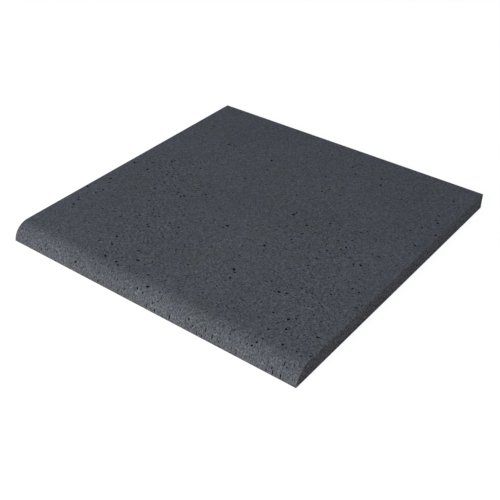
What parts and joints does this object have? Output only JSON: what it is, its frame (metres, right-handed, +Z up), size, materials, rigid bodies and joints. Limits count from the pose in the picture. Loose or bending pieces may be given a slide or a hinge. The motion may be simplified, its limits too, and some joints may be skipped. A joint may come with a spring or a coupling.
{
  "type": "bullnose pool coping tile",
  "caption": "Square slab of dark pored stone with a half-bullnose front edge and its other edges sawn square, laid as coping along the rim of a pool.",
  "frame": {"origin": "middle of the underside", "axes": "+Z up out of the walking face, +Y from the rounded nose to the square back edge, X along the nose"},
  "size_m": [0.6, 0.6, 0.03],
  "materials": {
    "charcoal_stone": "honed matt, with open pores"
  },
  "bodies": {
    "root": {"coping_tile": "charcoal_stone"}
  },
  "joints": []
}
